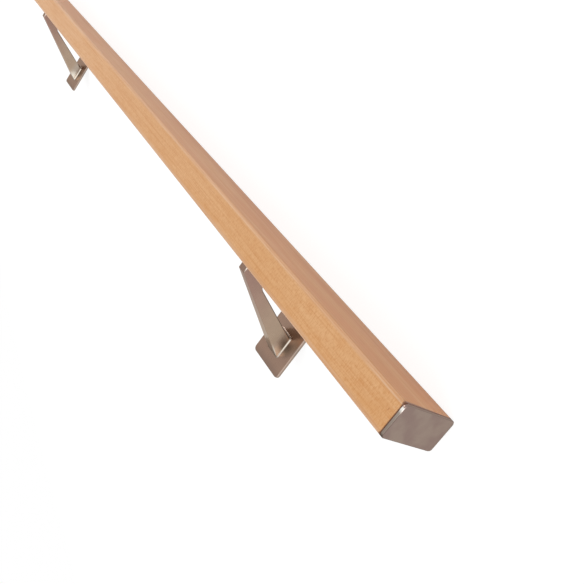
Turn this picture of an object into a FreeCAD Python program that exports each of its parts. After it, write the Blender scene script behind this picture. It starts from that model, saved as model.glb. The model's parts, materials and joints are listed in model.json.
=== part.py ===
import FreeCAD, Part
import math
import os
import re
import Sketcher
from FreeCAD import Placement, Rotation, Vector

# Wall handrail: a rectangular timber rail with metal end caps, on brackets that are cast in one
# piece with their square wall plates. Millimetres.
#
# Everything is drawn as it hangs on the wall: X runs along the rail from the near end of the timber,
# Y points out from the wall (the wall is Y = 0) and Z is up (the rail's underside is Z = 0).
# At the end the whole handrail is laid down as it rests on a level floor: on its back, on the top
# edges of the wall plates and the back top arris of the rail.

SIZES = [
    ("rail_length", 2400, "timber, between the end caps"),
    ("rail_width", 70, "front to back"),
    ("rail_height", 34, "underside to top"),
    ("arris_radius", 3.5, "rounding of the rail's long edges and the caps' corners"),
    ("cap_thick", 3.5, "end cap plate"),
    ("cap_bevel", 0.8, "fine bevel round the cap's outer face"),
    ("peg_diameter", 8, "cap peg"),
    ("peg_length", 25, "cap peg"),
    ("peg_spacing", 36, "between the two pegs of a cap"),
    ("peg_clearance", 0.1, "round a peg in its bore"),
    ("peg_end_gap", 2, "between a peg's end and the bottom of its bore"),
    ("bracket_inset", 267, "cap's outer face to the middle of the bracket nearest to it"),
    ("wall_gap", 50, "wall to the back of the rail, room for the hand"),
    ("plate_size", 60, "square wall plate"),
    ("plate_thick", 3.5, "wall plate"),
    ("plate_corner", 5, "corner radius of the wall plate"),
    ("plate_bevel", 1, "bevel round the wall plate's front"),
    ("plate_drop", 70.5, "rail's underside down to the middle of the wall plate"),
    ("stud_tap", 6.8, "tapped hole in the bracket's back for an M8 wall stud"),
    ("stud_depth", 12, "that hole, from the wall"),
    ("head_setback", 7, "rail's front face back to the head of the arm"),
    ("head_height", 8, "front face of the arm's head"),
    ("head_width", 13, "arm at its head"),
    ("head_lip", 5, "part of the head that stands in front of the saddle plate"),
    ("seat_length", 21, "flat on the head behind the lip, which carries the saddle plate"),
    ("shoulder_run", 8, "slope behind the seat, measured along Y"),
    ("shoulder_drop", 13.5, "slope behind the seat, measured down"),
    ("shoulder_blend", 12, "hollow between that slope and the arm"),
    ("root_width", 23.5, "arm where it meets the wall plate"),
    ("root_height", 27, "arm where it meets the wall plate"),
    ("root_fillet", 2.5, "hollow round the arm's root"),
    ("arm_edge", 1.5, "rounding of the arm's long edges and of its head"),
    ("saddle_length", 56, "saddle plate, along the rail"),
    ("saddle_width", 24, "saddle plate, across the rail"),
    ("saddle_thick", 3, "saddle plate"),
    ("saddle_corner", 3, "cropped corners of the saddle plate"),
    ("saddle_gap", 0.2, "between the saddle plate and the lip of the head"),
    ("screw_spacing", 40, "between the two wood screws of a saddle plate"),
    ("screw_hole", 4.5, "hole for a round-headed wood screw"),
    ("bolt_hole", 5.3, "hole in the saddle plate for the screw into the arm"),
    ("bolt_head", 9.5, "countersink for that screw's head"),
    ("bolt_tap", 4.2, "tapped hole in the arm's head"),
    ("bolt_depth", 10, "tapped hole in the arm's head"),
]

# Places that follow from the sizes
RAIL_BACK = "wall_gap"
RAIL_FRONT = f"({RAIL_BACK} + rail_width)"
RAIL_MIDDLE = f"({RAIL_BACK} + rail_width / 2)"
HEAD_FRONT = f"({RAIL_FRONT} - head_setback)"
SEAT_FRONT = f"({HEAD_FRONT} - head_lip)"
SEAT_BACK = f"({SEAT_FRONT} - seat_length)"
SADDLE_FRONT = f"({SEAT_FRONT} - saddle_gap)"
SADDLE_MIDDLE = f"({SADDLE_FRONT} - saddle_width / 2)"
BOLT_Y = f"({SEAT_FRONT} - seat_length / 2)"
BRACKETS = 3

doc = FreeCAD.newDocument("handrail")
sheet = doc.addObject("Spreadsheet::Sheet", "Sizes")
for row, (alias, number, note) in enumerate(SIZES, 1):
    sheet.set(f"A{row}", alias)
    sheet.set(f"B{row}", str(number))
    sheet.setAlias(f"B{row}", alias)
    sheet.set(f"C{row}", note)
doc.recompute()


def size(alias):
    return float(sheet.get(alias))


def bound(formula):
    """A formula of size names, as an expression that reads them from the sheet."""
    return re.sub(r"[a-z][a-z_]+", lambda word: "Sizes." + word.group(0), formula)


rail_back = size("wall_gap")
rail_middle = rail_back + size("rail_width") / 2
head_front = rail_back + size("rail_width") - size("head_setback")


# Sketches and features

def new_body(label):
    body = doc.addObject("PartDesign::Body", label)
    body.Label = label
    return body


def new_sketch(body, plane, name, lift=None):
    """A sketch on one of the body's own planes, lifted along the plane's normal."""
    sketch = body.newObject("Sketcher::SketchObject", f"{body.Name}_{name}")
    origin = next(f for f in body.Origin.OriginFeatures if f.Role == plane)
    sketch.AttachmentSupport = [(origin, "")]
    sketch.MapMode = "FlatFace"
    if lift:
        sketch.setExpression("AttachmentOffset.Base.z", bound(lift))
    return sketch


def hold(sketch, kind, first, second, formula):
    """One dimension of the sketch, bound to the sheet."""
    index = sketch.addConstraint(Sketcher.Constraint(kind, *first, *second, 1.0))
    sketch.setExpression(f"Constraints[{index}]", bound(formula))


def draw_outline(sketch, corners):
    """A closed outline of straight lines through corners, each given as two formulas."""
    count = len(corners)
    turn = 2 * math.pi / count
    start = [Vector(math.cos(turn * i), math.sin(turn * i), 0) for i in range(count)]
    lines = [sketch.addGeometry(Part.LineSegment(start[i], start[(i + 1) % count]))
             for i in range(count)]
    for i, line in enumerate(lines):
        sketch.addConstraint(Sketcher.Constraint("Coincident", line, 2, lines[(i + 1) % count], 1))
        hold(sketch, "DistanceX", (-1, 1), (line, 1), corners[i][0])
        hold(sketch, "DistanceY", (-1, 1), (line, 1), corners[i][1])


def draw_box(sketch, middle, width, height):
    x, y = middle
    draw_outline(sketch, [(f"{x} - {width} / 2", f"{y} - {height} / 2"),
                          (f"{x} + {width} / 2", f"{y} - {height} / 2"),
                          (f"{x} + {width} / 2", f"{y} + {height} / 2"),
                          (f"{x} - {width} / 2", f"{y} + {height} / 2")])


def draw_circle(sketch, middle, diameter):
    circle = sketch.addGeometry(Part.Circle(Vector(1, 1, 0), Vector(0, 0, 1), 1))
    hold(sketch, "DistanceX", (-1, 1), (circle, 3), middle[0])
    hold(sketch, "DistanceY", (-1, 1), (circle, 3), middle[1])
    hold(sketch, "Diameter", (circle,), (), diameter)


def feature(kind, sketch, name, length=None, reverse=False, both_ways=False):
    """A pad or a pocket of the sketch. With no length a pocket goes right through."""
    body = sketch.getParentGeoFeatureGroup()
    made = body.newObject(f"PartDesign::{kind}", f"{body.Name}_{name}")
    made.Profile = sketch
    made.Reversed = reverse
    made.Midplane = both_ways
    if length:
        made.setExpression("Length", bound(length))
    else:
        made.Type = "ThroughAll"
    sketch.Visibility = False
    doc.recompute()
    return made


def soften(kind, name, base, formula, chosen):
    """A fillet or a chamfer on the edges of base that chosen(edge) picks."""
    body = base.getParentGeoFeatureGroup()
    names = [f"Edge{i}" for i, edge in enumerate(base.Shape.Edges, 1) if chosen(edge)]
    made = body.newObject(f"PartDesign::{kind}", f"{body.Name}_{name}")
    made.Base = (base, names)
    made.setExpression("Radius" if kind == "Fillet" else "Size", bound(formula))
    doc.recompute()
    return made


# Choosing edges

def near(a, b):
    return abs(a - b) < 1e-4


def runs_along(axis):
    """Straight edges that run along X, Y or Z (0, 1 or 2)."""
    def chosen(edge):
        if not isinstance(edge.Curve, (Part.Line, Part.LineSegment)):
            return False
        return near(abs(edge.tangentAt(edge.FirstParameter)[axis]), 1)
    return chosen


def lies_at(axis, place):
    """Edges that lie in one plane across X, Y or Z."""
    def chosen(edge):
        box = edge.BoundBox
        low, high = [(box.XMin, box.XMax), (box.YMin, box.YMax), (box.ZMin, box.ZMax)][axis]
        return abs(low - place) < 1e-3 and abs(high - place) < 1e-3
    return chosen


def circle_at(axis, place):
    """Whole circles that lie in one plane across X, Y or Z."""
    in_plane = lies_at(axis, place)
    return lambda edge: isinstance(edge.Curve, Part.Circle) and edge.isClosed() and in_plane(edge)


# The pieces

def peg_middles():
    return [(f"{RAIL_MIDDLE} - peg_spacing / 2", "rail_height / 2"),
            (f"{RAIL_MIDDLE} + peg_spacing / 2", "rail_height / 2")]


def make_rail():
    body = new_body("rail")
    section = new_sketch(body, "YZ_Plane", "section")
    draw_box(section, (RAIL_MIDDLE, "rail_height / 2"), "rail_width", "rail_height")
    length = feature("Pad", section, "length", "rail_length")
    soften("Fillet", "arrises", length, "arris_radius", runs_along(0))
    for end, lift, inward in (("near", None, True), ("far", "rail_length", False)):
        bores = new_sketch(body, "YZ_Plane", f"{end}_bores", lift)
        for middle in peg_middles():
            draw_circle(bores, middle, "(peg_diameter + 2 * peg_clearance)")
        feature("Pocket", bores, f"{end}_peg_bores", "(peg_length + peg_end_gap)", inward)
    return body


def make_cap(label):
    """A cap for the end of the timber at X = 0, its pegs pointing along X."""
    body = new_body(label)
    outline = new_sketch(body, "YZ_Plane", "outline")
    draw_box(outline, (RAIL_MIDDLE, "rail_height / 2"), "rail_width", "rail_height")
    plate = feature("Pad", outline, "plate", "cap_thick", True)
    corners = soften("Fillet", "corners", plate, "arris_radius", runs_along(0))
    soften("Chamfer", "bevel", corners, "cap_bevel", lies_at(0, -size("cap_thick")))
    pegs = new_sketch(body, "YZ_Plane", "peg_circles")
    for middle in peg_middles():
        draw_circle(pegs, middle, "peg_diameter")
    feature("Pad", pegs, "pegs", "peg_length")
    return body


def make_arm(body):
    """The arm: its side outline, as wide as the root, with a long wedge cut from each side."""
    side = new_sketch(body, "YZ_Plane", "side")
    draw_outline(side, [
        ("plate_thick", "-plate_drop - root_height / 2"),
        (HEAD_FRONT, "-head_height"),
        (HEAD_FRONT, "0"),
        (SEAT_FRONT, "0"),
        (SEAT_FRONT, "-saddle_thick"),
        (SEAT_BACK, "-saddle_thick"),
        (f"{SEAT_BACK} - shoulder_run", "-saddle_thick - shoulder_drop"),
        ("plate_thick", "-plate_drop + root_height / 2"),
    ])
    feature("Pad", side, "arm_block", "root_width", False, True)
    wedges = new_sketch(body, "XY_Plane", "wedges")
    for sign in ("-", ""):
        draw_outline(wedges, [(f"{sign}root_width / 2", "plate_thick"),
                              (f"{sign}head_width / 2", HEAD_FRONT),
                              (f"{sign}root_width / 2", HEAD_FRONT)])
    taper = feature("Pocket", wedges, "arm_taper", None, False, True)
    return taper


def make_bracket(label):
    """One casting: the arm and the square wall plate, with the tapped hole for the wall stud."""
    body = new_body(label)
    taper = make_arm(body)
    root_top = -size("plate_drop") + size("root_height") / 2
    shoulder = -size("saddle_thick") - size("shoulder_drop")

    def hollow(edge):
        box = edge.BoundBox
        return near(box.ZMin, box.ZMax) and abs(box.ZMin - shoulder) < 1e-3
    blend = soften("Fillet", "shoulder_blend", taper, "shoulder_blend", hollow)

    def arm_edge(edge):
        box = edge.BoundBox
        long = box.YLength > size("wall_gap") / 2 and box.ZLength > size("root_height") / 2
        upright_of_head = runs_along(2)(edge) and lies_at(1, head_front)(edge)
        return long or upright_of_head
    soften("Fillet", "arm_edges", blend, "arm_edge", arm_edge)

    outline = new_sketch(body, "XZ_Plane", "plate_outline", "-plate_thick")
    draw_box(outline, ("0", "-plate_drop"), "plate_size", "plate_size")
    plate = feature("Pad", outline, "wall_plate", "plate_thick")

    def plate_corner(edge):
        box = edge.BoundBox
        return runs_along(1)(edge) and near(max(abs(box.XMin), abs(box.XMax)), size("plate_size") / 2)
    corners = soften("Fillet", "plate_corners", plate, "plate_corner", plate_corner)

    def in_front(edge):
        return lies_at(1, size("plate_thick"))(edge)

    def plate_rim(edge):
        box = edge.BoundBox
        reach = max(abs(box.XMin), abs(box.XMax), abs(box.ZMin + size("plate_drop")),
                    abs(box.ZMax + size("plate_drop")))
        return in_front(edge) and reach > size("plate_size") / 2 - size("plate_corner")
    rim = soften("Chamfer", "plate_bevel", corners, "plate_bevel", plate_rim)
    soften("Fillet", "root_hollow", rim, "root_fillet",
           lambda edge: in_front(edge) and edge.BoundBox.ZMax < root_top + 1)

    stud = new_sketch(body, "XZ_Plane", "stud_circle")
    draw_circle(stud, ("0", "-plate_drop"), "stud_tap")
    feature("Pocket", stud, "stud_hole", "stud_depth")

    tap = new_sketch(body, "XY_Plane", "bolt_circle", "-saddle_thick")
    draw_circle(tap, ("0", BOLT_Y), "bolt_tap")
    feature("Pocket", tap, "tapped_hole", "bolt_depth")
    return body


def make_saddle(label):
    body = new_body(label)
    outline = new_sketch(body, "XY_Plane", "outline")
    draw_box(outline, ("0", SADDLE_MIDDLE), "saddle_length", "saddle_width")
    plate = feature("Pad", outline, "plate", "saddle_thick", True)
    soften("Chamfer", "corners", plate, "saddle_corner", runs_along(2))
    holes = new_sketch(body, "XY_Plane", "screw_circles")
    for side in ("-", "+"):
        draw_circle(holes, (f"0 {side} screw_spacing / 2", SADDLE_MIDDLE), "screw_hole")
    feature("Pocket", holes, "screw_holes", None, False, True)
    bolt = new_sketch(body, "XY_Plane", "bolt_circle")
    draw_circle(bolt, ("0", BOLT_Y), "bolt_hole")
    bored = feature("Pocket", bolt, "bolt_hole", None, False, True)

    def bolt_mouth(edge):
        return circle_at(2, 0)(edge) and near(edge.Curve.Radius, size("bolt_hole") / 2)
    soften("Chamfer", "bolt_countersink", bored, "(bolt_head - bolt_hole) / 2", bolt_mouth)
    return body


# Where each piece hangs on the wall

def along(distance):
    return Placement(Vector(distance, 0, 0), Rotation())


first = size("bracket_inset") - size("cap_thick")
last = size("rail_length") - first

hung = {}
hung[make_rail()] = Placement()
hung[make_cap("end_cap_near")] = Placement()
about_face = Rotation(Vector(0, 0, 1), 180)
hung[make_cap("end_cap_far")] = Placement(
    Vector(size("rail_length"), 2 * rail_middle, 0), about_face)
for number in range(1, BRACKETS + 1):
    middle = along(first + (last - first) * (number - 1) / (BRACKETS - 1))
    hung[make_bracket(f"bracket_{number}")] = middle
    hung[make_saddle(f"saddle_plate_{number}")] = middle


# Laid down on the floor: the line from a wall plate's top back edge to the rail's back top arris
# becomes level, and the middle of the box that holds everything stands over the origin

def lying_rotation():
    arris = size("arris_radius")
    out = rail_back + arris
    up = size("rail_height") - arris + size("plate_drop") - size("plate_size") / 2
    lean = math.degrees(math.atan2(out, up) - math.asin(arris / math.hypot(out, up)))
    return Rotation(Vector(1, 0, 0), 90 + lean)


lying = Placement(Vector(), lying_rotation())
whole = FreeCAD.BoundBox()
for body, place in hung.items():
    body.Placement = lying.multiply(place)
    whole.add(body.Shape.optimalBoundingBox(False))
lying.Base = Vector(-whole.Center.x, -whole.Center.y, -whole.ZMin)
for body, place in hung.items():
    body.Placement = lying.multiply(place)
doc.recompute()

for thing in doc.Objects:
    if "Invalid" in thing.State or "Error" in thing.State:
        raise RuntimeError(f"{thing.Label} failed: {thing.State}")
os.makedirs("parts", exist_ok=True)
for body in hung:
    shape = body.Shape
    if shape.isNull() or not shape.isValid() or len(shape.Solids) != 1:
        raise RuntimeError(f"{body.Label} is not one sound solid")
    shape.exportStep(f"parts/{body.Label}.step")
    print(body.Label, round(shape.Volume), "mm3")
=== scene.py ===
import json
import math
import bmesh
import bpy
from mathutils import Euler, Matrix, Vector


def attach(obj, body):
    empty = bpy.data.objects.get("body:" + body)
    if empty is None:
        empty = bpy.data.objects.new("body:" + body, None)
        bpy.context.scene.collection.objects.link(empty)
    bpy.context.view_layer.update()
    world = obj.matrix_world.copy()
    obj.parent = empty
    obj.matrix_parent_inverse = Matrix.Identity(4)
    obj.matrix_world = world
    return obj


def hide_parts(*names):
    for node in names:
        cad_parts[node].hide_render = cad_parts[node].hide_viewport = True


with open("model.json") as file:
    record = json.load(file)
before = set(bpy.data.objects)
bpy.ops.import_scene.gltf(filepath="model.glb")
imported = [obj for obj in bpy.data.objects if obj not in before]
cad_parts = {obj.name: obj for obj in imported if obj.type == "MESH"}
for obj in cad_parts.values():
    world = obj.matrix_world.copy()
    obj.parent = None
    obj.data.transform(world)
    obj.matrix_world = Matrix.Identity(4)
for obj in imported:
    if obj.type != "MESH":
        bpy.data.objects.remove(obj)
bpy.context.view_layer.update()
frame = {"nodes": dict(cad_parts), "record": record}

# A wall handrail of beech with satin nickel end caps and brackets. The solids lie on their back on
# the floor, but everything here is placed and finished as it hangs on the wall: X along the rail,
# Y out from the wall, Z up, from the first bracket's wall stud.

MM = 0.001
MOUNTS = {m["name"]: m for m in frame["record"]["mounts"]}
RAIL_ALONG = Vector((1, 0, 0))
WALL_OUT = -Vector(MOUNTS["stud_hole_1"]["axis"])
HUNG_UP = RAIL_ALONG.cross(WALL_OUT)
BRACKETS = sum(name.startswith("bracket") for name in frame["nodes"])


def hung_frame(bracket=1):
    """From a bracket's own hung frame to the floor's."""
    turned = Matrix((RAIL_ALONG, WALL_OUT, HUNG_UP)).transposed().to_4x4()
    return Matrix.Translation(Vector(MOUNTS[f"stud_hole_{bracket}"]["pos_m"])) @ turned


FLOOR_TO_HUNG = hung_frame().inverted()
BRACKET_SPACING = (hung_frame(2).to_translation() - hung_frame(1).to_translation()).length

# Sizes of the solids that the finishes and the screws line up with, in the hung frame
RAIL_HEIGHT = 34 * MM
RAIL_WIDTH = 70 * MM
RAIL_BACK = 50 * MM
RAIL_FRONT = RAIL_BACK + RAIL_WIDTH
RAIL_UNDERSIDE = 70.5 * MM
RAIL_TOP = RAIL_UNDERSIDE + RAIL_HEIGHT
NEAR_END = -263.5 * MM
RAIL_LENGTH = 2400 * MM
SADDLE_THICK = 3 * MM
SADDLE_MIDDLE = 95.8 * MM
SCREW_SPACING = 40 * MM
PLATE_THICK = 3.5 * MM


def add_object(name, data):
    piece = bpy.data.objects.new(name, data)
    bpy.context.scene.collection.objects.link(piece)
    return piece


# Building finishes, floor and sky from nodes

class Nodes:
    """A node tree under construction. An input is given by name, as a number or another socket."""

    def __init__(self, tree):
        self.tree = tree

    def feed(self, node, inputs):
        for name, value in inputs.items():
            socket = node.inputs[name]
            if isinstance(value, bpy.types.NodeSocket):
                self.tree.links.new(value, socket)
            else:
                socket.default_value = value

    def add(self, kind, inputs=None, **settings):
        node = self.tree.nodes.new("ShaderNode" + kind)
        for name, value in settings.items():
            setattr(node, name, value)
        self.feed(node, inputs or {})
        return node

    def sum(self, operation, first, second=0.0, third=0.0):
        return self.add("Math", {0: first, 1: second, 2: third}, operation=operation).outputs[0]

    def both(self, first, second):
        return self.sum("MULTIPLY", first, second)

    def away(self, value, centre):
        return self.sum("ABSOLUTE", self.sum("SUBTRACT", value, centre))

    def length(self, vector):
        return self.add("VectorMath", {0: vector}, operation="LENGTH").outputs["Value"]

    def spread(self, value, span, ends):
        """Goes smoothly from the first of ends to the second while value crosses span."""
        inputs = {"Value": value, "From Min": span[0], "From Max": span[1],
                  "To Min": ends[0], "To Max": ends[1]}
        return self.add("MapRange", inputs, interpolation_type="SMOOTHSTEP").outputs["Result"]

    def rise(self, value, span, share=1.0):
        return self.spread(value, span, (0.0, share))

    def fade(self, value, span, share=1.0):
        return self.spread(value, span, (share, 0.0))

    def blend(self, factor, first, second, kind="MIX"):
        """A colour between first and second, each a colour or a socket."""
        node = self.add("Mix", data_type="RGBA", blend_type=kind)
        colours = [value if isinstance(value, bpy.types.NodeSocket) else (*value, 1)
                   for value in (first, second)]
        self.feed(node, {0: factor, 6: colours[0], 7: colours[1]})
        return node.outputs[2]

    def seen(self):
        """1 for rays that show the background, straight or in gloss or glass, and 0 for light."""
        ray = self.add("LightPath").outputs
        either = self.sum("MAXIMUM", ray["Is Camera Ray"], ray["Is Glossy Ray"])
        return self.sum("MAXIMUM", either, ray["Is Transmission Ray"])


class Finish(Nodes):
    """A material under construction."""

    def __init__(self, name):
        self.material = bpy.data.materials.new(name)
        self.material.use_nodes = True
        super().__init__(self.material.node_tree)
        self.shader = self.tree.nodes["Principled BSDF"]

    def hung(self):
        """Places in the hung frame, so that a pattern runs with the rail."""
        place = self.add("TexCoord").outputs["Object"]
        turned = {"Location": FLOOR_TO_HUNG.to_translation(), "Rotation": FLOOR_TO_HUNG.to_euler()}
        return self.add("Mapping", {"Vector": place, **turned}).outputs["Vector"]

    def directions(self, place):
        """Along the rail, out from the wall and up, each as a number."""
        return self.add("SeparateXYZ", {"Vector": place}).outputs

    def stretched(self, place, cells):
        """Places counted in cells of the given sizes along X, Y and Z."""
        scale = [1 / size for size in cells]
        return self.add("Mapping", {"Vector": place, "Scale": scale}).outputs["Vector"]

    def noise(self, place, cells, detail=2.0, roughness=0.5, distortion=0.0):
        inputs = {"Vector": self.stretched(place, cells), "Scale": 1.0, "Detail": detail,
                  "Roughness": roughness, "Distortion": distortion}
        return self.add("TexNoise", inputs).outputs["Fac"]

    def facing(self, direction, both_ways=True):
        """1 where the surface faces a direction squarely, and 1 or -1 where it faces away."""
        normal = self.add("NewGeometry").outputs["Normal"]
        dot = self.add("VectorMath", {0: normal, 1: direction}, operation="DOT_PRODUCT")
        squarely = dot.outputs["Value"]
        return self.sum("ABSOLUTE", squarely) if both_ways else squarely

    def raise_surface(self, height, distance, strength):
        bump = self.add("Bump", {"Height": height, "Distance": distance, "Strength": strength})
        self.tree.links.new(bump.outputs["Normal"], self.shader.inputs["Normal"])


NOISE_SPAN = (0.3, 0.7)

# The dark joint of rail and cap, on both: partly the joint's own dark colour, partly painted shade in
# the gap
SEAM_BROWN_AND_SHADE = (0.125, 0.036, 0.014)
SEAM_FADE = (0.3, 1.0)
SEAM_SHARE = 0.9


def near_seam(finish, along, reach):
    """Fades out from the joint, at both ends."""
    from_middle = finish.away(along, NEAR_END + RAIL_LENGTH / 2)
    gap = finish.away(from_middle, RAIL_LENGTH / 2)
    return finish.fade(finish.sum("DIVIDE", gap, reach), SEAM_FADE, SEAM_SHARE)


# Beech: growth rings as soft bands, rays as fine cross flecks, under a matt lacquer

BEECH_PALE = (0.690, 0.392, 0.186)
BEECH_MID = (0.660, 0.357, 0.156)
BEECH_WARM = (0.610, 0.290, 0.105)
BEECH_ROSE = (0.624, 0.266, 0.096)
# Painted shade: the top face is multiplied darker by this
TOP_PAINTED_SHADE = (0.962, 0.885, 0.695)
# Painted highlight on the arrises, on the front and on the top
ARRIS_HIGHLIGHT = (0.640, 0.385, 0.222)
ARRIS_TOP_HIGHLIGHT = (0.735, 0.438, 0.260)
RAY_BROWN = (0.520, 0.205, 0.045)
KNOT_BROWN = (0.420, 0.150, 0.045)

PITH_DOWN = 120 * MM
PITH_OUT = 20 * MM
RING_WIDTH = 3.4 * MM
RING_WANDER = 4 * RING_WIDTH
LATE_POWER = 3.0
LATE_SHARE = 0.2
KNOT_PLACE = (-255.5 * MM, 120 * MM, 90.8 * MM)
KNOT_SIZES = (0.9 * MM, 3.0 * MM, 2.4 * MM)
KNOT_FADE = (0.1, 1.0)
KNOT_SHARE = 0.8

WANDER_CELLS = (200 * MM, 50 * MM, 50 * MM)
BAND_CELLS = (150 * MM, 14 * MM, 14 * MM)
MOTTLE_CELLS = (14 * MM, 7 * MM, 7 * MM)
LINE_CELLS = (90 * MM, 1.4 * MM, 1.4 * MM)
RAY_CELLS = (1.3 * MM, 4 * MM, 4.5 * MM)
MOTTLE_SPAN = (0.42, 0.75)
MOTTLE_SHARE = 0.4
ROSE_SPAN = (0.36, 0.64)
ROSE_SHARES = (0.3, 0.9)
LINE_SPAN = (0.42, 0.7)
LINE_SHARE = 0.42
RAY_SPAN = (0.46, 0.64)
RAY_SHARE_FRONT = 0.38
RAY_SHARE_ALL = 0.06
RAY_DAMP_SPAN = (0.2, 0.8)
RAY_DAMP = (1.0, 0.3)

# The arrises carry a painted highlight, and the painted highlight reaches onto the front as a pale band
CORNER_SPAN = (0.0, 0.14)
TOP_FLAT = (0.93, 0.98)
ARRIS_SPAN = (0.3, 0.8)
ARRIS_SHARE = 0.8
EDGE_MIDDLE = RAIL_UNDERSIDE + RAIL_HEIGHT / 2 + 0.6 * MM
EDGE_BAND = (RAIL_HEIGHT / 2 - 5.5 * MM, RAIL_HEIGHT / 2 - 3.2 * MM)
EDGE_SHARE = 0.6

# The seam's dark band, partly painted shade of the gap, widens over the top towards the front
SEAM_WIDE = 1.5 * MM
SEAM_GROWS = (0.2, 1.8)

LACQUER_ROUGH = (0.46, 0.56)
GRAIN_DEEP = 0.05 * MM
GRAIN_STRENGTH = 0.3
RAY_HEIGHT = 0.5


def make_beech():
    finish = Finish("beech")
    place = finish.hung()
    along, out, up = finish.directions(place)
    faces_out = finish.facing(WALL_OUT)
    faces_up = finish.facing(HUNG_UP)

    wander = finish.noise(place, WANDER_CELLS)
    from_pith = finish.add("CombineXYZ", {
        "X": finish.sum("SUBTRACT", out, RAIL_BACK + PITH_OUT),
        "Y": finish.sum("ADD", up, PITH_DOWN - RAIL_UNDERSIDE)})
    radius = finish.length(from_pith.outputs[0])
    radius = finish.sum("MULTIPLY_ADD", wander, RING_WANDER, radius)
    season = finish.sum("FRACT", finish.sum("DIVIDE", radius, RING_WIDTH))
    late = finish.sum("POWER", season, LATE_POWER)
    bands = finish.noise(place, BAND_CELLS, detail=3.0, roughness=0.55, distortion=0.3)
    mottle = finish.noise(place, MOTTLE_CELLS)
    lines = finish.noise(place, LINE_CELLS, detail=3.0, roughness=0.6)
    rays = finish.noise(place, RAY_CELLS, roughness=0.6)

    colour = finish.blend(finish.rise(bands, NOISE_SPAN), BEECH_PALE, BEECH_MID)
    colour = finish.blend(finish.rise(mottle, MOTTLE_SPAN, MOTTLE_SHARE), colour, BEECH_WARM)
    rose = finish.both(faces_up, finish.spread(bands, ROSE_SPAN, ROSE_SHARES))
    colour = finish.blend(rose, colour, BEECH_ROSE)
    # Painted shade on the top face
    colour = finish.blend(faces_up, colour, TOP_PAINTED_SHADE, "MULTIPLY")

    # Painted highlight on the rounded arrises and in a band along the front's top and bottom edges
    turned = finish.rise(finish.both(faces_out, faces_up), CORNER_SPAN, ARRIS_SHARE)
    turned = finish.both(turned, finish.fade(faces_up, TOP_FLAT))
    edges = finish.rise(finish.away(up, EDGE_MIDDLE), EDGE_BAND, EDGE_SHARE)
    turned = finish.sum("MAXIMUM", turned, finish.both(edges, faces_out))
    arris_highlight = finish.blend(finish.rise(faces_up, ARRIS_SPAN), ARRIS_HIGHLIGHT, ARRIS_TOP_HIGHLIGHT)
    colour = finish.blend(turned, colour, arris_highlight)

    colour = finish.blend(finish.both(late, LATE_SHARE), colour, BEECH_WARM)
    colour = finish.blend(finish.rise(lines, LINE_SPAN, LINE_SHARE), colour, RAY_BROWN)
    flecks = finish.both(rays, finish.spread(turned, RAY_DAMP_SPAN, RAY_DAMP))
    ray_share = finish.sum("MULTIPLY_ADD", faces_out, RAY_SHARE_FRONT, RAY_SHARE_ALL)
    figure = finish.both(finish.rise(flecks, RAY_SPAN), ray_share)
    colour = finish.blend(figure, colour, RAY_BROWN)

    to_knot = finish.add("VectorMath", {0: place, 1: KNOT_PLACE}, operation="SUBTRACT").outputs[0]
    knot = finish.length(finish.stretched(to_knot, KNOT_SIZES))
    colour = finish.blend(finish.fade(knot, KNOT_FADE, KNOT_SHARE), colour, KNOT_BROWN)

    # Dark joint colour and painted shade of the gap at the seam, wider over the top
    wider = finish.both(faces_up, finish.spread(out, (RAIL_BACK, RAIL_FRONT), SEAM_GROWS))
    reach = finish.sum("MULTIPLY_ADD", wider, SEAM_WIDE, SEAM_WIDE)
    colour = finish.blend(near_seam(finish, along, reach), colour, SEAM_BROWN_AND_SHADE)

    finish.feed(finish.shader, {
        "Base Color": colour,
        "Roughness": finish.spread(lines, NOISE_SPAN, LACQUER_ROUGH),
        "IOR": 1.45,
        "Specular IOR Level": 0.3,
        "Coat Weight": 0.24,
        "Coat Roughness": 0.3,
        "Coat IOR": 1.5})
    grain = finish.sum("ADD", lines, finish.both(flecks, RAY_HEIGHT))
    finish.raise_surface(grain, GRAIN_DEEP, GRAIN_STRENGTH)
    return finish.material


# Nickel: satin, with the fine lines of its brushing

EDGE_ON = (0.74, 0.68, 0.62, 1)
CLOUD_CELLS = (20 * MM, 20 * MM, 20 * MM)
ROUGH_SWING = 0.03
BRUSHING_DEEP = 0.01 * MM
BRUSHING_STRENGTH = 0.1


def satin(finish, tone, lines, roughness):
    swing = (roughness - ROUGH_SWING, roughness + ROUGH_SWING)
    finish.feed(finish.shader, {
        "Base Color": tone,
        "Metallic": 1.0,
        "Roughness": finish.spread(lines, NOISE_SPAN, swing),
        "Specular Tint": EDGE_ON})
    finish.raise_surface(lines, BRUSHING_DEEP, BRUSHING_STRENGTH)
    return finish.material


# The caps' tones, mostly painted reflection, highlight and shade, and the heights and turns of the
# surface between which they change

CAP_MAUVE = (0.268, 0.194, 0.170)
CAP_OLIVE = (0.308, 0.236, 0.198)
# Painted reflection and highlight on the sides: darker low, brighter high, a painted glint near the top
CAP_SIDE_LOW = (0.255, 0.205, 0.172)
CAP_SIDE_HIGH = (0.340, 0.290, 0.250)
CAP_GLINT = (0.84, 0.81, 0.76)
# Painted reflection tone of the top edge
CAP_TOP_EDGE = (0.235, 0.180, 0.155)
# Painted shade: the sides' foot, the upright edges low down and the lowest millimetre
CAP_FOOT_SHADE = (0.045, 0.028, 0.022)

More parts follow.
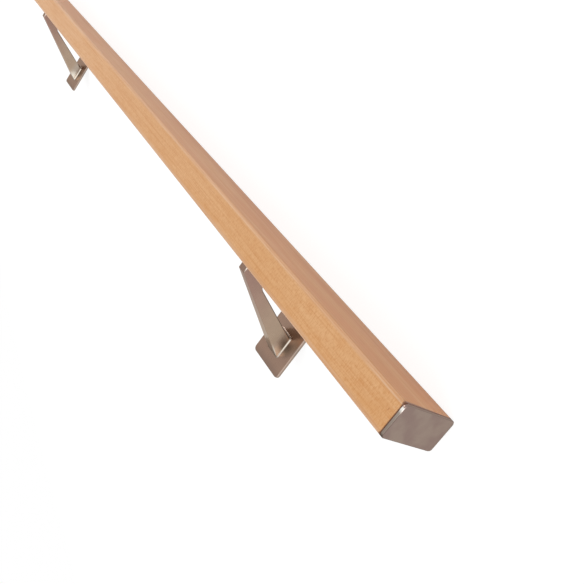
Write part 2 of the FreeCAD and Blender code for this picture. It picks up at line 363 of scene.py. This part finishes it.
CAP_BRUSHING = (0.4 * MM, 20 * MM, 0.4 * MM)
CAP_ROUGHNESS = 0.32
CAP_CLOUD_SPAN = (0.38, 0.62)
CAP_BRIGHTENS = (RAIL_UNDERSIDE + 8 * MM, RAIL_TOP)
CAP_GLINT_STARTS = (RAIL_TOP - 9.7 * MM, RAIL_TOP - 5.2 * MM)
CAP_GLINT_ENDS = (RAIL_TOP - 4.4 * MM, RAIL_TOP - 2.8 * MM)
CAP_FOOT_ENDS = (RAIL_UNDERSIDE + 0.5 * MM, RAIL_UNDERSIDE + 4.5 * MM)
CAP_SIDE_SPAN = (0.3, 0.9)
CAP_EDGE_SPAN = (0.3, 0.45)
CAP_BEVEL_ENDS = (RAIL_TOP - 12 * MM, RAIL_TOP - 6 * MM)
CAP_BEVEL_SHARE = 0.7
CAP_UNDER_ENDS = (RAIL_UNDERSIDE, RAIL_UNDERSIDE + 1 * MM)
CAP_UNDER_SHARE = 0.8
# Painted reflection of the wood's dark edge: the seam's dark band reaches further over the cap's top
CAP_SEAM = 0.5 * MM
CAP_SEAM_ON_TOP = 1.2 * MM


def make_cap_nickel():
    """The face is clouded; the sides are painted brighter towards the top as painted reflection, with a
    painted highlight just below the corner.
    """
    finish = Finish("cap_nickel")
    place = finish.hung()
    along, _, up = finish.directions(place)
    faces_along = finish.facing(RAIL_ALONG)
    faces_out = finish.facing(WALL_OUT)
    faces_up = finish.facing(HUNG_UP)
    lines = finish.noise(place, CAP_BRUSHING, detail=3.0, roughness=0.6)
    cloud = finish.noise(place, CLOUD_CELLS)

    tone = finish.blend(finish.rise(cloud, CAP_CLOUD_SPAN), CAP_MAUVE, CAP_OLIVE)
    # Painted reflection: the sides brighten towards the top, with a painted highlight just below the
    # corner
    side = finish.blend(finish.rise(up, CAP_BRIGHTENS), CAP_SIDE_LOW, CAP_SIDE_HIGH)
    side = finish.blend(finish.rise(up, CAP_GLINT_STARTS), side, CAP_GLINT)
    # Painted shade on the lowest part of the sides
    side = finish.blend(finish.rise(up, CAP_FOOT_ENDS), CAP_FOOT_SHADE, side)
    # Painted reflection: above the painted highlight the sides turn back to the mauve tone
    side = finish.blend(finish.rise(up, CAP_GLINT_ENDS), side, CAP_MAUVE)
    tone = finish.blend(finish.fade(faces_along, CAP_SIDE_SPAN), tone, side)

    # Painted shade on the upright edges, low down
    bevel = finish.rise(finish.both(faces_along, faces_out), CAP_EDGE_SPAN)
    bevel = finish.both(bevel, finish.fade(up, CAP_BEVEL_ENDS, CAP_BEVEL_SHARE))
    tone = finish.blend(bevel, tone, CAP_FOOT_SHADE)
    # Painted reflection on the edge between the face and the top
    top_edge = finish.rise(finish.both(faces_along, faces_up), CAP_EDGE_SPAN)
    tone = finish.blend(top_edge, tone, CAP_TOP_EDGE)
    # Painted shade on the lowest millimetre all round
    tone = finish.blend(finish.fade(up, CAP_UNDER_ENDS, CAP_UNDER_SHARE), tone, CAP_FOOT_SHADE)
    # Painted reflection of the wood's dark edge over the cap's top, beside the joint's dark band
    reach = finish.sum("MULTIPLY_ADD", faces_up, CAP_SEAM_ON_TOP, CAP_SEAM)
    tone = finish.blend(near_seam(finish, along, reach), tone, SEAM_BROWN_AND_SHADE)
    return satin(finish, tone, lines, CAP_ROUGHNESS)


# The brackets' tones, mostly painted reflection, highlight and shade, and the places and turns of the
# surface between which they change

# Painted reflection along the arm, paler at the root than at the head
ARM_HEAD = (0.335, 0.212, 0.171)
ARM_ROOT = (0.410, 0.305, 0.222)
# Painted shade on the arm's rounded edges away from the root; the same tone also darkens the arm in
# random clouds
ARM_EDGE = (0.130, 0.085, 0.065)
# Painted highlight on the rounded edges at the root
ROOT_EDGE = (0.500, 0.440, 0.380)
# Painted highlight round the root fillet, dimmer low down
ROOT_HIGHLIGHT = (0.440, 0.395, 0.340)
ROOT_HIGHLIGHT_LOW = (0.300, 0.265, 0.225)
# Painted shade over the top of the root fillet
ROOT_OVER_SHADE = (0.270, 0.220, 0.185)
# Painted reflection: the arm's sides and underside turn pale at the root
CORNER_LOW = (0.930, 0.880, 0.760)
CORNER_HIGH = (0.440, 0.370, 0.305)
CORNER_UNDER = (0.520, 0.465, 0.405)
# Painted shade on the head's front face and a painted highlight on its upright edge
HEAD_FRONT_SHADE = (0.250, 0.164, 0.126)
HEAD_GLINT = (0.560, 0.490, 0.430)
PLATE_FACE = (0.300, 0.196, 0.146)
# Painted shade on the plate's lower part
PLATE_FOOT_SHADE = (0.250, 0.168, 0.130)
# Painted reflection on the plate's rim and bevel
PLATE_RIM = (0.360, 0.270, 0.215)
PLATE_BEVEL = (0.260, 0.200, 0.165)

ARM_BRUSHING = (0.6 * MM, 0.6 * MM, 12 * MM)
ARM_ROUGHNESS = 0.3
ARM_RUN = (25 * MM, 105 * MM)
ARM_SIDE_SPAN = (0.3, 0.7)
ARM_UNDER_SPAN = (-0.6, -0.3)
ARM_ROUNDED_SPAN = (0.15, 0.4)
ARM_EDGE_DARKENS = (14 * MM, 30 * MM)
ARM_CLOUD_SPAN = (0.35, 0.65)
ARM_CLOUD_SHARE = 0.08
ROOT_ENDS = (10 * MM, 24 * MM)
ROOT_SIDE_HEIGHTS = (-8 * MM, 8 * MM)
FILLET_ENDS = (6 * MM, 9 * MM)
FILLET_SPAN = (0.2, 0.4)
FILLET_OVER_SPAN = (0.2, 0.32)
ROOT_HIGHLIGHT_HEIGHTS = (-14 * MM, 2 * MM)
HEAD_STARTS = (100 * MM, 106 * MM)
HEAD_EDGE_SPAN = (0.25, 0.45)
PLATE_RIM_SPAN = (0.4, 0.65)
PLATE_FLAT = (0.8, 0.98)
PLATE_FOOT_HEIGHTS = (-29 * MM, -18 * MM)
PLATE_ENDS = (PLATE_THICK, PLATE_THICK + 1 * MM)

# Painted shade on the wall plate beside the arm's root, in two dark patches: place along and up, share,
# tone
ROOT_SHADE_PATCHES = ((-24 * MM, 10 * MM, 0.65, (0.190, 0.158, 0.135)),
           (-16 * MM, 3 * MM, 1.0, (0.106, 0.078, 0.063)))
ROOT_SHADE_FADE = (2 * MM, 13 * MM)


def make_bracket_nickel():
    """The arm is painted warmer towards the rail, and palest where it meets the wall plate, as painted
    reflection.
    """
    finish = Finish("bracket_nickel")
    place = finish.hung()
    along, out, up = finish.directions(place)
    faces_along = finish.facing(RAIL_ALONG)
    faces_out = finish.facing(WALL_OUT)
    faces_up = finish.facing(HUNG_UP, both_ways=False)
    along_and_out = finish.both(faces_along, faces_out)
    lines = finish.noise(place, ARM_BRUSHING, detail=3.0, roughness=0.6)
    cloud = finish.noise(place, CLOUD_CELLS)

    # Painted reflection: paler at the root, warmer towards the head
    tone = finish.blend(finish.rise(out, ARM_RUN), ARM_ROOT, ARM_HEAD)
    # Painted reflection on the arm's sides and underside at the root
    at_root = finish.fade(out, ROOT_ENDS)
    side = finish.blend(finish.rise(up, ROOT_SIDE_HEIGHTS), CORNER_LOW, CORNER_HIGH)
    tone = finish.blend(finish.both(at_root, finish.rise(faces_along, ARM_SIDE_SPAN)), tone, side)
    under = finish.fade(faces_up, ARM_UNDER_SPAN)
    tone = finish.blend(finish.both(at_root, under), tone, CORNER_UNDER)
    # Painted highlight and shade on the rounded edges: pale at the root, dark further out
    edge = finish.blend(finish.rise(out, ARM_EDGE_DARKENS), ROOT_EDGE, ARM_EDGE)
    rounded = finish.rise(finish.both(faces_along, faces_up), ARM_ROUNDED_SPAN)
    tone = finish.blend(rounded, tone, edge)

    # Painted highlight: a pale line round the root fillet
    at_fillet = finish.fade(out, FILLET_ENDS)
    root_highlight = finish.blend(finish.rise(up, ROOT_HIGHLIGHT_HEIGHTS), ROOT_HIGHLIGHT_LOW, ROOT_HIGHLIGHT)
    beside_arm = finish.both(at_fillet, finish.rise(along_and_out, FILLET_SPAN))
    tone = finish.blend(beside_arm, tone, root_highlight)

    # Painted shade on the head's front face and a painted highlight on its upright edge
    at_head = finish.rise(out, HEAD_STARTS)
    tone = finish.blend(finish.both(at_head, faces_out), tone, HEAD_FRONT_SHADE)
    glint = finish.rise(along_and_out, HEAD_EDGE_SPAN)
    tone = finish.blend(finish.both(at_head, glint), tone, HEAD_GLINT)

    # Painted reflection on the plate's rim and bevel
    rim = finish.blend(finish.rise(faces_out, PLATE_RIM_SPAN), PLATE_RIM, PLATE_BEVEL)
    # Painted shade on the plate's lower part
    plate = finish.blend(finish.rise(up, PLATE_FOOT_HEIGHTS), PLATE_FOOT_SHADE, PLATE_FACE)
    plate = finish.blend(finish.rise(faces_out, PLATE_FLAT), rim, plate)
    # Painted shade: two dark patches on the plate beside the arm's root
    beside = finish.sum("WRAP", along, BRACKET_SPACING / 2, -BRACKET_SPACING / 2)
    for at_side, at_height, share, patch_shade in ROOT_SHADE_PATCHES:
        to_shade_patch = finish.add("CombineXYZ", {"X": finish.sum("SUBTRACT", beside, at_side),
                                              "Y": finish.sum("SUBTRACT", up, at_height)})
        distance = finish.length(to_shade_patch.outputs[0])
        plate = finish.blend(finish.fade(distance, ROOT_SHADE_FADE, share), plate, patch_shade)
    tone = finish.blend(finish.fade(out, PLATE_ENDS), tone, plate)

    # Painted shade over the top of the root fillet
    over = finish.rise(finish.both(faces_out, faces_up), FILLET_OVER_SPAN)
    tone = finish.blend(finish.both(at_fillet, over), tone, ROOT_OVER_SHADE)
    tone = finish.blend(finish.rise(cloud, ARM_CLOUD_SPAN, ARM_CLOUD_SHARE), tone, ARM_EDGE)
    return satin(finish, tone, lines, ARM_ROUGHNESS)


# Zinc plated steel, for the saddle plates and their screws

ZINC_PALE = (0.50, 0.49, 0.47)
ZINC_DARK = (0.42, 0.41, 0.40)
SPANGLE_CELLS = (4 * MM, 4 * MM, 4 * MM)
SPANGLE_DEEP = 0.03 * MM
SPANGLE_STRENGTH = 0.2
ZINC_ROUGH = (0.3, 0.42)


def make_plated_steel():
    finish = Finish("plated_steel")
    spangle = finish.noise(finish.hung(), SPANGLE_CELLS, detail=3.0)
    finish.feed(finish.shader, {
        "Base Color": finish.blend(finish.rise(spangle, NOISE_SPAN), ZINC_PALE, ZINC_DARK),
        "Metallic": 1.0,
        "Roughness": finish.spread(spangle, NOISE_SPAN, ZINC_ROUGH)})
    finish.raise_surface(spangle, SPANGLE_DEEP, SPANGLE_STRENGTH)
    return finish.material


plated_steel = make_plated_steel()
FINISHES = {"rail": make_beech(), "end_cap": make_cap_nickel(), "bracket": make_bracket_nickel(),
            "saddle": plated_steel}


# The solids' own shapes, welded and shaded smooth between their sharp edges

SMOOTH_BELOW = math.radians(50)
WELD = 2e-6
SEAM_DEEP = 0.4 * MM
SEAM_INSET = 5 * MM
AT_END = 10 * WELD
END_CORNER = 1


def groove_ends(form):
    """Break the edges where rail and end cap meet, so that a fine groove shows between them."""
    ends = (NEAR_END, NEAR_END + RAIL_LENGTH)

    def on_outline(vert):
        spot = FLOOR_TO_HUNG @ vert.co
        at_end = min(abs(spot.x - end) for end in ends) < AT_END
        inset = min(spot.y - RAIL_BACK, RAIL_FRONT - spot.y,
                    spot.z - RAIL_UNDERSIDE, RAIL_TOP - spot.z)
        return at_end and inset < SEAM_INSET

    outline = [edge for edge in form.edges
               if all(on_outline(vert) for vert in edge.verts)
               and edge.calc_face_angle(0) > END_CORNER]
    bmesh.ops.bevel(form, geom=outline, offset=SEAM_DEEP, offset_type="OFFSET", segments=1,
                    profile=0.5, affect="EDGES", clamp_overlap=False)


def weld(form):
    bmesh.ops.remove_doubles(form, verts=form.verts, dist=WELD)
    bmesh.ops.dissolve_degenerate(form, edges=form.edges, dist=WELD)


def shade(form):
    """Smooth between sharp edges."""
    for face in form.faces:
        face.smooth = True
    for edge in form.edges:
        edge.smooth = edge.calc_face_angle(math.pi) < SMOOTH_BELOW


def dress(node):
    """A finished copy of a solid, which stands for it."""
    mesh = frame["nodes"][node].data.copy()
    mesh.name = node + "_finished"
    form = bmesh.new()
    form.from_mesh(mesh)
    weld(form)
    if node == "rail" or node.startswith("end_cap"):
        groove_ends(form)
    shade(form)
    form.to_mesh(mesh)
    form.free()
    mesh.materials.clear()
    mesh.materials.append(next(m for word, m in FINISHES.items() if node.startswith(word)))
    piece = add_object(mesh.name, mesh)
    evened = piece.modifiers.new("even_normals", "WEIGHTED_NORMAL")
    evened.keep_sharp = True
    evened.weight = 100
    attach(piece, "root")
    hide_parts(node)


for node in sorted(frame["nodes"]):
    dress(node)


# Wood screws that hold the saddle plates under the rail

HEAD_RADIUS = 4.25 * MM
HEAD_HEIGHT = 2.8 * MM
HEAD_SEGMENTS = 32
HEAD_RINGS = 16
CROSS_WIDE = 1.0 * MM
CROSS_LONG = 4.6 * MM
CROSS_DEEP = 1.7 * MM
CUT_WITHIN = 1e-7
FACES_TOP = 0.1


def cut_form(form, place, away_from, **settings):
    everything = [*form.verts, *form.edges, *form.faces]
    return bmesh.ops.bisect_plane(form, geom=everything, plane_co=place, plane_no=away_from, **settings)


def in_cross(face):
    middle = face.calc_center_median()
    wide, long = sorted((abs(middle.x), abs(middle.y)))
    return wide < CROSS_WIDE / 2 and long < CROSS_LONG / 2 and face.normal.z > FACES_TOP


def make_screw(name, place):
    """A round head with a cross recess, its top along its own Z, set under the saddle plate."""
    form = bmesh.new()
    bmesh.ops.create_uvsphere(form, u_segments=HEAD_SEGMENTS, v_segments=HEAD_RINGS, radius=1)
    bmesh.ops.scale(form, verts=form.verts, vec=(HEAD_RADIUS, HEAD_RADIUS, HEAD_HEIGHT))
    cut = cut_form(form, (0, 0, 0), (0, 0, -1), clear_outer=True)
    rim = [e for e in cut["geom_cut"] if isinstance(e, bmesh.types.BMEdge)]
    bmesh.ops.contextual_create(form, geom=rim)
    for axis in ((1, 0, 0), (0, 1, 0)):
        for half in (CROSS_WIDE / 2, CROSS_LONG / 2):
            for side in (-1, 1):
                cut_form(form, Vector(axis) * side * half, axis, dist=CUT_WITHIN)
    weld(form)

    form.normal_update()
    cross = [face for face in form.faces if in_cross(face)]
    sunk = bmesh.ops.extrude_face_region(form, geom=cross)
    floor_verts = [v for v in sunk["geom"] if isinstance(v, bmesh.types.BMVert)]
    bmesh.ops.translate(form, verts=floor_verts, vec=(0, 0, -CROSS_DEEP))
    bmesh.ops.delete(form, geom=cross, context="FACES")
    bmesh.ops.recalc_face_normals(form, faces=form.faces)
    shade(form)
    bmesh.ops.transform(form, verts=form.verts, matrix=place)
    mesh = bpy.data.meshes.new(name)
    form.to_mesh(mesh)
    form.free()
    mesh.materials.append(plated_steel)
    piece = add_object(name, mesh)
    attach(piece, "root")


HEAD_DOWN = Euler((math.pi, 0, 0)).to_matrix().to_4x4()
for number in range(1, BRACKETS + 1):
    for side, word in ((-1, "near"), (1, "far")):
        seat = Vector((side * SCREW_SPACING / 2, SADDLE_MIDDLE, RAIL_UNDERSIDE - SADDLE_THICK))
        place = hung_frame(number) @ Matrix.Translation(seat) @ HEAD_DOWN
        make_screw(f"saddle_screw_{number}_{word}", place)


# Floor and sky: plain and pale to the light, white to the eye, with the shadow kept near the part

WHITE = (1, 1, 1, 1)
FLOOR_REACH = 40
FLOOR_GREY = (0.8, 0.8, 0.8, 1)
FLOOR_GLOW = 0.86
SHADOW_GREY = (0.22, 0.22, 0.22, 1)
SHADOW_ENDS = (1.8, 4.0)
SKY_STRENGTHS = (0.5, 1.0)


def make_floor():
    mesh = bpy.data.meshes.new("floor")
    form = bmesh.new()
    bmesh.ops.create_grid(form, x_segments=1, y_segments=1, size=FLOOR_REACH)
    form.to_mesh(mesh)
    form.free()
    finish = Finish("pale_floor")
    finish.feed(finish.shader, {"Base Color": FLOOR_GREY, "Roughness": 0.9,
                                "Specular IOR Level": 0.0})
    distance = finish.length(finish.add("TexCoord").outputs["Object"])
    white = finish.add("Emission", {"Color": WHITE, "Strength": 1.0}).outputs[0]
    glow = finish.add("Emission", {"Color": WHITE, "Strength": FLOOR_GLOW}).outputs[0]
    lit = finish.add("BsdfDiffuse", {"Color": SHADOW_GREY}).outputs[0]
    shadowed = finish.add("AddShader", {0: glow, 1: lit}).outputs[0]
    beyond = finish.rise(distance, SHADOW_ENDS)
    pale = finish.add("MixShader", {0: beyond, 1: shadowed, 2: white}).outputs[0]
    plain = finish.shader.outputs[0]
    surface = finish.add("MixShader", {0: finish.seen(), 1: plain, 2: pale}).outputs[0]
    finish.feed(finish.tree.nodes["Material Output"], {"Surface": surface})
    mesh.materials.append(finish.material)
    add_object("floor", mesh)


def make_sky():
    world = bpy.data.worlds.new("world")
    world.use_nodes = True
    sky = Nodes(world.node_tree)
    strength = sky.spread(sky.seen(), (0.0, 1.0), SKY_STRENGTHS)
    sky.feed(sky.tree.nodes["Background"], {"Color": WHITE, "Strength": strength})
    bpy.context.scene.world = world


# Two broad soft suns: name, hung-frame direction from the rail to the light, strength, width

SUNS = (("key_light", (-0.70, 0.68, -0.22), 1.5, 75),
        ("side_light", (0.69, 0.65, 0.24), 0.8, 22))


def add_sun(name, towards, strength, degrees_wide):
    lamp = bpy.data.lights.new(name, "SUN")
    lamp.energy = strength
    lamp.angle = math.radians(degrees_wide)
    there = hung_frame().to_3x3() @ Vector(towards)
    add_object(name, lamp).rotation_euler = there.to_track_quat("Z", "Y").to_euler()


# Camera, in the hung frame

CAMERA_PLACE = (-572.3 * MM, 577.8 * MM, 246.5 * MM)
CAMERA_HEADING = math.radians(-44.379)
CAMERA_TILT = math.radians(-14.284)
CAMERA_ROLL = math.radians(-36.770)
CAMERA_LENS = 45.046
CAMERA_SENSOR = 36
CAMERA_SHIFT_UP = 0.03278
NEAREST = 0.01
FARTHEST = 200


def make_camera():
    data = bpy.data.cameras.new("camera")
    data.sensor_width = CAMERA_SENSOR
    data.lens = CAMERA_LENS
    data.shift_y = CAMERA_SHIFT_UP
    data.clip_start = NEAREST
    data.clip_end = FARTHEST
    level = Euler((math.pi / 2 + CAMERA_TILT, 0, CAMERA_HEADING - math.pi / 2)).to_matrix()
    rolled = Matrix.Rotation(-CAMERA_ROLL, 3, "Z")
    hung = Matrix.Translation(CAMERA_PLACE) @ (level @ rolled).to_4x4()
    camera = add_object("camera", data)
    camera.matrix_world = hung_frame() @ hung
    bpy.context.scene.camera = camera


make_floor()
make_sky()
for sun in SUNS:
    add_sun(*sun)
make_camera()
bpy.context.scene.view_settings.view_transform = "Standard"
